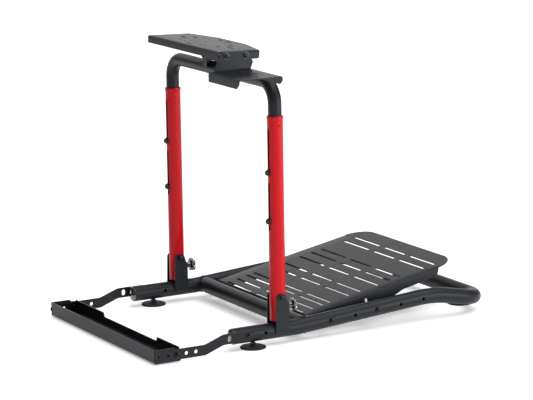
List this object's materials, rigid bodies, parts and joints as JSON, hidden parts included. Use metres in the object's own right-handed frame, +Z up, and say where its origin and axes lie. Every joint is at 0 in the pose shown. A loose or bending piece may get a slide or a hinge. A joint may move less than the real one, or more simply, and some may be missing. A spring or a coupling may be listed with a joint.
{
  "type": "racing wheel stand",
  "caption": "Folding simulator wheel stand: bent-tube base, red sliding mast with tilting wheel deck and shifter shelf, slotted tilting pedal deck and a swing-out caster tray.",
  "frame": {"origin": "centre of the bounding box on the floor plane", "axes": "+X towards the driver's right, +Y from the chair towards the pedals, +Z up"},
  "size_m": [0.6506, 1.003, 0.7305],
  "materials": {
    "black_powder_coat": "satin powder coat",
    "red_powder_coat": "gloss powder coat",
    "blackened_steel": "black oxide",
    "black_plastic": "gloss",
    "black_rubber": "matt"
  },
  "bodies": {
    "base": {"base_tube": "black_powder_coat", "front_cross_tube": "black_powder_coat", "stub_end_cap_left": "black_plastic", "stub_end_cap_right": "black_plastic", "hinge_bracket_left": "black_powder_coat", "hinge_bracket_right": "black_powder_coat", "mast_pivot_bolt_left": "blackened_steel", "mast_pivot_bolt_right": "blackened_steel", "mast_pivot_nut_left": "blackened_steel", "mast_pivot_nut_right": "blackened_steel", "pedal_pivot_bolt_left": "blackened_steel", "pedal_pivot_bolt_right": "blackened_steel", "pedal_lock_bolt_left": "blackened_steel", "pedal_lock_bolt_right": "blackened_steel", "pedal_pivot_spacer_left": "blackened_steel", "pedal_pivot_spacer_right": "blackened_steel", "pedal_lock_spacer_left": "blackened_steel", "pedal_lock_spacer_right": "blackened_steel", "arm_bolt_left": "blackened_steel", "arm_bolt_right": "blackened_steel"},
    "mast": {"upright_left": "red_powder_coat", "upright_right": "red_powder_coat", "upright_collar_left": "red_powder_coat", "upright_collar_right": "red_powder_coat"},
    "crown": {"crown_tube": "black_powder_coat", "saddle_bracket": "black_powder_coat", "height_bolt_upper_left": "blackened_steel", "height_bolt_upper_right": "blackened_steel", "height_bolt_lower_left": "blackened_steel", "height_bolt_lower_right": "blackened_steel", "deck_pivot_bolt_left": "blackened_steel", "deck_pivot_bolt_right": "blackened_steel", "deck_lock_bolt_left": "blackened_steel", "deck_lock_bolt_right": "blackened_steel"},
    "wheel_platform": {"wheel_deck": "black_powder_coat", "shifter_bracket": "black_powder_coat", "shifter_bolt_front": "blackened_steel", "shifter_bolt_rear": "blackened_steel"},
    "pedal_platform": {"pedal_deck": "black_powder_coat"},
    "caster_stop": {"caster_tray": "black_powder_coat", "tray_arm_left": "black_powder_coat", "tray_arm_right": "black_powder_coat", "tray_bolt_left": "blackened_steel", "tray_bolt_right": "blackened_steel", "tray_front_bolt_left": "blackened_steel"},
    "lock_left": {"lock_knob_left": "black_plastic", "lock_stud_left": "blackened_steel"},
    "lock_right": {"lock_knob_right": "black_plastic", "lock_stud_right": "blackened_steel"},
    "foot_front_left": {"foot_pad_front_left": "black_rubber", "foot_stem_front_left": "blackened_steel"},
    "foot_front_right": {"foot_pad_front_right": "black_rubber", "foot_stem_front_right": "blackened_steel"},
    "foot_rear_left": {"foot_pad_rear_left": "black_rubber", "foot_stem_rear_left": "blackened_steel"},
    "foot_rear_right": {"foot_pad_rear_right": "black_rubber", "foot_stem_rear_right": "blackened_steel"}
  },
  "joints": [
    {"name": "mast_fold", "type": "hinge", "parent": "base", "child": "mast", "pos_m": [-0.02265, -0.1432, 0.1205], "axis": [-1, 0, 0], "range_deg": [0, 65]},
    {"name": "height_slide", "type": "slide", "parent": "mast", "child": "crown", "axis": [0, 0, 1], "range_m": [-0.005, 0.09]},
    {"name": "wheel_deck_tilt", "type": "hinge", "parent": "crown", "child": "wheel_platform", "pos_m": [-0.02265, -0.157, 0.688], "axis": [1, 0, 0], "range_deg": [-8, 8]},
    {"name": "pedal_deck_tilt", "type": "hinge", "parent": "base", "child": "pedal_platform", "pos_m": [-0.02265, 0.002, 0.04305], "axis": [1, 0, 0], "range_deg": [-6, 6]},
    {"name": "tray_swing", "type": "hinge", "parent": "base", "child": "caster_stop", "pos_m": [-0.02265, -0.2372, 0.0384], "axis": [-1, 0, 0], "range_deg": [0, 90]},
    {"name": "lock_left_turn", "type": "hinge", "parent": "base", "child": "lock_left", "pos_m": [-0.29165, -0.103, 0.0944], "axis": [0, 1, 0], "continuous": true},
    {"name": "lock_right_turn", "type": "hinge", "parent": "base", "child": "lock_right", "pos_m": [0.24635, -0.103, 0.0944], "axis": [0, 1, 0], "continuous": true},
    {"name": "foot_front_left_turn", "type": "hinge", "parent": "base", "child": "foot_front_left", "pos_m": [-0.29165, -0.215, 0], "axis": [0, 0, 1], "continuous": true},
    {"name": "foot_front_right_turn", "type": "hinge", "parent": "base", "child": "foot_front_right", "pos_m": [0.24635, -0.215, 0], "axis": [0, 0, 1], "continuous": true},
    {"name": "foot_rear_left_turn", "type": "hinge", "parent": "base", "child": "foot_rear_left", "pos_m": [-0.18265, 0.469, 0], "axis": [0, 0, 1], "continuous": true},
    {"name": "foot_rear_right_turn", "type": "hinge", "parent": "base", "child": "foot_rear_right", "pos_m": [0.13735, 0.469, 0], "axis": [0, 0, 1], "continuous": true}
  ]
}
